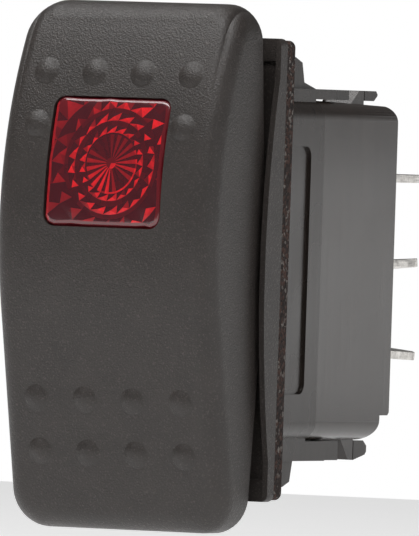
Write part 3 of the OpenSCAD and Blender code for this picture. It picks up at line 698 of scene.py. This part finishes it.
class SWITCH_OT_rocker(bpy.types.Operator):
    """Models the rocker's rounded shell, its window for the lens, its ribs and its raised dots"""
    bl_idname = "switch.rocker"
    bl_label = "Rocker"

    def execute(self, context):
        s = context.scene.switch_rocker
        straight = HALF_H - s.corner_round
        strips = 34
        deselect()
        bpy.ops.mesh.primitive_plane_add(size=1, rotation=(math.radians(90), 0, 0))
        shell = added("rocker_shell")
        edit(shell)
        bpy.ops.mesh.select_all(action="SELECT")
        bpy.ops.transform.resize(value=(2 * HALF_W, 1, 2 * HALF_H))
        bpy.ops.mesh.bevel(offset=s.corner_round, segments=10, affect="VERTICES")
        for i in range(strips + 1):
            cut(shell, (0, 0, straight * (2 * i / strips - 1)), (0, 0, 1))
        bpy.ops.mesh.select_all(action="SELECT")
        extrude((0, 10 * MM, 0))
        pick(shell, "VERT", lambda v: v.co.y > 5 * MM)
        move_picked(shell, lambda co: Vector((co.x, back_y(co.z), co.z)))
        pick(shell, "VERT", lambda v: v.co.y > -1 * MM)
        move_picked(shell, lambda co: Vector((co.x, front_y(co.z), co.z)))
        outward()
        # rounded edge all round the front
        pick(shell, "EDGE", lambda e: len(e.link_faces) == 2
             and min(f.normal.y for f in e.link_faces) < -0.7
             and abs(max(f.normal.y for f in e.link_faces)) < 0.4)
        bpy.ops.mesh.bevel(offset=s.edge_round, segments=8, profile=0.5, affect="EDGES")
        # hollow from behind
        pick(shell, "FACE", lambda f: f.normal.y > 0.7)
        bpy.ops.mesh.inset(thickness=s.wall, depth=0)
        extrude((0, -1 * MM, 0))
        move_picked(shell, lambda co: Vector((co.x, front_y(co.z) + s.wall, co.z)))
        outward()
        leave()
        cutter = window_cutter(LENS_W + 0.24 * MM, 1.12 * MM)
        apply_modifier(shell, "BOOLEAN", object=cutter, operation="DIFFERENCE", solver="EXACT")
        bpy.data.objects.remove(cutter)
        # ribs that carry the actuator plate
        pieces = [shell]
        for side in (-1, 1):
            top, low = front_y(side * 18 * MM) + s.wall - 0.3 * MM, -7.1 * MM
            deselect()
            bpy.ops.mesh.primitive_cube_add(
                size=1, scale=(2 * (HALF_W - s.wall) + 0.2 * MM, low - top, 1.2 * MM),
                location=(0, (top + low) / 2, side * 18 * MM))
            rib = added("rib")
            apply_modifier(rib, "BEVEL", width=0.15 * MM, segments=2)
            pieces.append(rib)
        dot = raised_dot(s.dot_height)
        for x, z in DOTS:
            tilt = -math.asin((z - CREST_Z) / FRONT_R) if z > FOLD_Z else LOWER_SLOPE
            twin = copied(dot, "dot")
            sunk = 0.015 * MM
            twin.data.transform(Matrix.Translation((x, front_y(z) + sunk, z)) @ Matrix.Rotation(tilt, 4, "X"))
            pieces.append(twin)
        bpy.data.objects.remove(dot)
        rocker = joined(pieces, "rocker_dressed")
        smooth(rocker, 32)
        paint(rocker, FINISH["rocker"])
        finished(rocker, body_of("rocker"), "rocker", "rocker")
        return {"FINISHED"}


def painted_facet_light(face, centre, chance, s):
    """Painted reflection: how bright a facet is painted, from 0 to 1, as if it threw the light back: those turned down
    and to the right are painted bright.
    """
    tilt = Vector((face.normal.x, face.normal.z))
    where = Vector((face.center.x, face.center.z)) - centre
    radius = where.length / MM
    below = 0.5 - 0.5 * where.y / max(where.length, 1e-9)
    if radius < 0.55:
        return 0.9 if where.y < 0 and where.x > -0.1 * MM else 0.12
    if tilt.length < 0.02:
        return 0.03 + 0.05 * chance.random()
    aim = tilt.normalized().dot(Vector((0.55, -0.83)))
    lit = min(max((aim - 0.2) / 0.5, 0), 1)
    if radius < 2.6:
        return lit * (0.16 + 0.84 * below ** 1.6) + 0.04
    if radius > 4.9:
        right = min(max(0.75 + 0.1 * where.x / MM, 0.35), 1)
        return lit * right * chance.choice((0.25, 0.7, 1, 1)) + 0.03
    return lit * chance.uniform(0.75, 1.1) + 0.03


class SWITCH_OT_lens(bpy.types.Operator):
    """Models the square red lens: spokes, two rings of facets, larger outer facets and a rounded rim"""
    bl_idname = "switch.lens"
    bl_label = "Lens"

    def execute(self, context):
        s = context.scene.switch_lens
        chance = random.Random(7)
        half = LENS_W / 2
        inner = half - s.rim
        # the facets lie deep in the lens, so that they stand a little off its middle
        centre = Vector((0.62 * MM, -0.15 * MM))
        n = s.spokes
        deselect()
        bpy.ops.mesh.primitive_circle_add(vertices=2 * n, radius=0.5 * MM, fill_type="TRIFAN",
                                          rotation=(math.radians(90), 0, 0))
        lens = added("lens_facets")
        edit(lens)
        rings = (0.5, 2.58, 2.74, 3.36, 3.84, 4.56, 4.95, 6.3, 9.2)
        for before, after in zip(rings, rings[1:]):
            pick(lens, "EDGE", lambda e: len(e.link_faces) == 1)
            bpy.ops.mesh.extrude_edges_move()
            grow = after / before
            turn = Matrix.Rotation(math.radians(3 if after in (3.36, 4.56, 6.3) else 0), 3, "Y")
            move_picked(lens, lambda co: turn @ (co * grow))
        # one cell for each spoke in the faceted rings, raised to a point
        def round_angle(place):
            return (math.degrees(math.atan2(place.z, place.x)) % 360) / (180 / n)

        def in_cells(radius):
            return any(low < radius / MM < high for low, high in ((2.74, 3.36), (3.84, 4.56), (4.95, 9.2)))

        def cell_middle(e):
            a, b = e.verts[0].co, e.verts[1].co
            if not in_cells(((a + b) / 2).length) or abs(a.length - b.length) < 0.3 * MM:
                return False
            inner_end = a if a.length < b.length else b
            start = round_angle(inner_end) - (0.33 if inner_end.length > 6 * MM else 0)
            return round(start) % 2 == 1
        pick(lens, "EDGE", cell_middle)
        bpy.ops.mesh.dissolve_edges(use_verts=False)
        pick(lens, "FACE", lambda f: len(f.verts) > 4 and in_cells(f.calc_center_median().length))
        bpy.ops.mesh.poke(offset=0.22 * MM)
        # ridges of the spokes
        pick(lens, "VERT", lambda v: 0.4 * MM < v.co.length < 2.6 * MM and round(round_angle(v.co)) % 2 == 1)
        move_picked(lens, lambda co: co + Vector((0, -0.09 * MM, 0)))
        bpy.ops.mesh.select_all(action="SELECT")
        move_picked(lens, lambda co: Vector((co.x + centre.x, co.y, co.z * 1.06 + centre.y)))
        outward()
        leave()
        if lens.data.polygons[0].normal.y > 0:
            lens.data.flip_normals()
        # the facets' painted light (brightness painted by each facet's tilt) and relief are kept, then the skin over
        # them is made smooth
        colours = lens.data.color_attributes.new("facets", "FLOAT_COLOR", "CORNER")
        relief = lens.data.attributes.new("relief", "FLOAT", "POINT")
        for vertex in lens.data.vertices:
            relief.data[vertex.index].value = -vertex.co.y / (0.25 * MM)
        red, dark = Vector(s.red), Vector(s.dark)
        for face in lens.data.polygons:
            light = painted_facet_light(face, centre, chance, s)
            for corner in face.loop_indices:
                # corners low in the facets get less of the painted light: painted shade in the facets' hollows
                raised = -lens.data.vertices[lens.data.loops[corner].vertex_index].co.y > 0.05 * MM
                share = light * (1.0 if raised else 0.72)
                colours.data[corner].color = (*(dark + (red - dark) * min(share, 1)), 1)
        for vertex in lens.data.vertices:
            vertex.co.y = 0
        edit(lens)
        corner = 0.75 * MM
        for turn in range(4):
            aim = Matrix.Rotation(turn * math.pi / 2, 3, "Y") @ Vector((1, 0, 0))
            trim(lens, aim * inner, aim)
            for step in (22.5, 45, 67.5):
                slant = Matrix.Rotation(turn * math.pi / 2 + math.radians(step), 3, "Y") @ Vector((1, 0, 0))
                quarter = Matrix.Rotation(turn * math.pi / 2, 3, "Y") @ Vector((1, 0, -1))
                trim(lens, quarter * (inner - corner) + slant * corner, slant)
        # rounded rim, walls and the lip behind the window
        steps = [(0.10, 0.01), (0.22, 0.05), (0.32, 0.12), (0.39, 0.22), (s.rim / MM, 0.36),
                 (s.rim / MM, 2.1), (s.rim / MM + 0.7, 2.15), (s.rim / MM + 0.7, 2.6)]
        reach = inner
        for out, deep in steps:
            pick(lens, "EDGE", lambda e: len(e.link_faces) == 1)
            bpy.ops.mesh.extrude_edges_move()
            grow = (inner + out * MM) / reach
            reach = inner + out * MM
            move_picked(lens, lambda co: Vector((co.x * grow, deep * MM, co.z * grow)))
        pick(lens, "EDGE", lambda e: len(e.link_faces) == 1)
        bpy.ops.mesh.edge_face_add()
        outward()
        leave()
        colours = lens.data.color_attributes["facets"]
        for face in lens.data.polygons:
            if max(abs(face.center.x), abs(face.center.z)) > inner or face.center.y > 0.005 * MM:
                # rim and walls painted a dim red, and the front of the left rim painted lighter: a painted highlight on
                # that side
                glow = 0.1 + 0.25 * (face.center.x < -inner and face.center.y < 0.1 * MM)
                for corner_index in face.loop_indices:
                    colours.data[corner_index].color = (*(dark + (red - dark) * glow), 1)
        # the front follows the rocker's bend
        for vertex in lens.data.vertices:
            vertex.co.y += FRONT_R - math.sqrt(FRONT_R ** 2 - vertex.co.z ** 2)
        lens.data.transform(about_front(-LENS_TILT) @ Matrix.Translation((0, -FRONT_R + 0.05 * MM, 0)))
        lens.name = "lens_dressed"
        smooth(lens, 40)
        paint(lens, FINISH["lens"])
        finished(lens, body_of("lens"), "lens", "lens")
        return {"FINISHED"}


class SWITCH_OT_housing(bpy.types.Operator):
    """Dresses the bracket, the foam gasket and the base with rounded moulded edges"""
    bl_idname = "switch.housing"
    bl_label = "Housing"

    def execute(self, context):
        s = context.scene.switch_housing
        bracket = dressed("bezel_bracket", s.edge)
        paint(bracket, FINISH["bezel"], FINISH["collar"])
        flange_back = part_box("panel_gasket")[0].y
        for face in bracket.data.polygons:
            face.material_index = 0 if face.center.y < flange_back + 0.01 * MM else 1
        finished(bracket, body_of("bezel_bracket"), "bezel_bracket", "bezel_bracket")
        gasket = dressed("panel_gasket", 0.12 * MM)
        paint(gasket, FINISH["foam"])
        finished(gasket, body_of("panel_gasket"), "panel_gasket", "panel_gasket")
        base = dressed("base_housing", s.edge)
        paint(base, FINISH["base"])
        finished(base, body_of("base_housing"), "base_housing", "base_housing")
        return {"FINISHED"}


class SWITCH_OT_blades(bpy.types.Operator):
    """Dresses the six blades with stamped edges and the slight twist of pressed tabs"""
    bl_idname = "switch.blades"
    bl_label = "Blades"

    def execute(self, context):
        twists = {"terminal_right_middle": 6, "terminal_right_bottom": -6, "terminal_left_middle": -3}
        for side in ("left", "right"):
            for row in ("top", "middle", "bottom"):
                node = f"terminal_{side}_{row}"
                blade = dressed(node, 0.07 * MM)
                low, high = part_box(node)
                start = BASE_HIGH.y + 0.1 * MM
                middle = (low.x + high.x) / 2
                tip = [v.co.z for v in blade.data.vertices if v.co.y > high.y - 0.5 * MM]
                level = (min(tip) + max(tip)) / 2
                for vertex in blade.data.vertices:
                    share = min(max((vertex.co.y - start) / (0.8 * MM), 0), 1)
                    angle = math.radians(twists.get(node, 0)) * share
                    x, z = vertex.co.x - middle, vertex.co.z - level
                    vertex.co.x = middle + x * math.cos(angle) - z * math.sin(angle)
                    vertex.co.z = level + x * math.sin(angle) + z * math.cos(angle)
                paint(blade, FINISH["tin"])
                finished(blade, body_of(node), node, node)
        return {"FINISHED"}


# ---------------------------------------------------------------- stage
def camera_place(s):
    a = math.radians(s.azimuth)
    e = math.radians(s.elevation)
    back = Vector((math.sin(a) * math.cos(e), -math.cos(a) * math.cos(e), math.sin(e)))
    right = Vector((math.cos(a), math.sin(a), 0))
    aim = Vector((0, -2.6 * MM, 0)) + right * 4.79 * MM - Vector((0, 0, 0.02 * MM))
    return aim, back


def softbox(name, place, target, power, size):
    data = bpy.data.lights.new(name, "AREA")
    data.energy = power
    data.shape = "RECTANGLE"
    data.size, data.size_y = size
    lamp = bpy.data.objects.new(name, data)
    bpy.context.scene.collection.objects.link(lamp)
    lamp.location = place
    lamp.rotation_euler = (Vector(target) - Vector(place)).to_track_quat("-Z", "Y").to_euler()
    lamp.visible_camera = False
    return lamp


def shown_white(tree):
    """1 for what the camera, gloss and glass see, otherwise 0."""
    light = tree.nodes.new("ShaderNodeLightPath")
    seen = math_node(tree, "MAXIMUM", light.outputs["Is Camera Ray"], light.outputs["Is Glossy Ray"])
    return math_node(tree, "MAXIMUM", seen, light.outputs["Is Transmission Ray"])


def white_world(ambient, front):
    """White to the camera; gloss sees the white backdrop behind the switch and a dimmer room in front."""
    world = bpy.data.worlds.new("world")
    world.use_nodes = True
    tree = world.node_tree
    sky = tree.nodes["Background"]
    sky.inputs["Color"].default_value = (1, 1, 1, 1)
    light = tree.nodes.new("ShaderNodeLightPath")
    toward = tree.nodes.new("ShaderNodeSeparateXYZ")
    tree.links.new(tree.nodes.new("ShaderNodeTexCoord").outputs["Generated"], toward.inputs[0])
    level = span(tree, math_node(tree, "ABSOLUTE", toward.outputs["Z"]), 0.06, 0.32, 1.0, 0.0)
    behind = math_node(tree, "MULTIPLY", level, span(tree, toward.outputs["Y"], -0.1, 0.4, 0.0, 0.75))
    backdrop = math_node(tree, "MAXIMUM", behind, front)
    gloss = math_node(tree, "MAXIMUM", light.outputs["Is Glossy Ray"], light.outputs["Is Transmission Ray"])
    seen = math_node(tree, "MAXIMUM", light.outputs["Is Camera Ray"], math_node(tree, "MULTIPLY", gloss, backdrop))
    tree.links.new(math_node(tree, "MAXIMUM", seen, ambient), sky.inputs["Strength"])
    return world


def stage_material():
    """Pale ground: mostly seen white, and darker where the switch shades it."""
    made, tree, shader = shaded("stage_white", Roughness=0.9, Specular_IOR_Level=0.1)
    place = tree.nodes.new("ShaderNodeTexCoord").outputs["Object"]
    tone = mixed(tree, noise(tree, place, 40.0), (0.78, 0.78, 0.78), (0.82, 0.82, 0.82))
    tree.links.new(tone, shader.inputs["Base Color"])
    glow = tree.nodes.new("ShaderNodeEmission")
    tree.links.new(math_node(tree, "MULTIPLY", shown_white(tree), 0.55), glow.inputs["Strength"])
    both = tree.nodes.new("ShaderNodeAddShader")
    tree.links.new(shader.outputs[0], both.inputs[0])
    tree.links.new(glow.outputs[0], both.inputs[1])
    tree.links.new(both.outputs[0], tree.nodes["Material Output"].inputs["Surface"])
    return made


class SWITCH_OT_stage(bpy.types.Operator):
    """Adds the camera, the lamps, the floor and the white surroundings"""
    bl_idname = "switch.stage"
    bl_label = "Stage"

    def execute(self, context):
        s = context.scene.switch_stage
        aim, back = camera_place(s)
        data = bpy.data.cameras.new("camera")
        data.sensor_width = 36
        data.lens = 1075
        data.clip_start = 0.01
        data.clip_end = 20
        cam = bpy.data.objects.new("camera", data)
        context.scene.collection.objects.link(cam)
        turn = (-back).to_track_quat("-Z", "Y").to_matrix().to_4x4()
        roll = Matrix.Rotation(math.radians(s.roll), 4, "Z")
        cam.matrix_world = Matrix.Translation(aim + back * s.distance) @ turn @ roll
        context.scene.camera = cam
        context.scene.world = white_world(0.11, 0.02)
        softbox("lamp_front", (0, -0.42, 0.68), (0, 0, 0), 4.6, (0.9, 0.2))
        softbox("lamp_above", (-0.3, 0.02, 0.62), (0, 0, 0), 1.6, (0.4, 0.3))
        softbox("lamp_right", (0.78, -0.16, 0.04), (0, 0.01, 0), 0.9, (0.3, 0.5))
        softbox("white_card", (0.062, 0.112, -0.003), (0.0104, 0.018, -0.002), 0.005, (0.09, 0.026))
        deselect()
        bpy.ops.mesh.primitive_grid_add(x_subdivisions=8, y_subdivisions=8, size=1.6,
                                        location=(0, 0.1, s.floor_z))
        ground = added("ground")
        paint(ground, stage_material())
        context.scene.view_settings.view_transform = "Standard"
        return {"FINISHED"}


class SWITCH_PT_panel(bpy.types.Panel):
    bl_label = "Rocker switch"
    bl_idname = "SWITCH_PT_panel"
    bl_space_type = "VIEW_3D"
    bl_region_type = "UI"
    bl_category = "Rocker switch"

    def draw(self, context):
        for cls in OPERATORS:
            self.layout.operator(cls.bl_idname)


GROUPS = (("switch_rocker", RockerSettings), ("switch_lens", LensSettings),
          ("switch_housing", HousingSettings), ("switch_stage", StageSettings))
OPERATORS = (SWITCH_OT_finishes, SWITCH_OT_rocker, SWITCH_OT_lens, SWITCH_OT_housing,
             SWITCH_OT_blades, SWITCH_OT_stage)


def register():
    for name, settings in GROUPS:
        bpy.utils.register_class(settings)
        setattr(bpy.types.Scene, name, bpy.props.PointerProperty(type=settings))
    for cls in OPERATORS:
        bpy.utils.register_class(cls)
    bpy.utils.register_class(SWITCH_PT_panel)


def unregister():
    bpy.utils.unregister_class(SWITCH_PT_panel)
    for cls in reversed(OPERATORS):
        bpy.utils.unregister_class(cls)
    for name, settings in reversed(GROUPS):
        delattr(bpy.types.Scene, name)
        bpy.utils.unregister_class(settings)


def main():
    register()
    bpy.ops.switch.finishes()
    bpy.ops.switch.rocker()
    bpy.ops.switch.lens()
    bpy.ops.switch.housing()
    bpy.ops.switch.blades()
    bpy.ops.switch.stage()


if __name__ == "__main__":
    main()
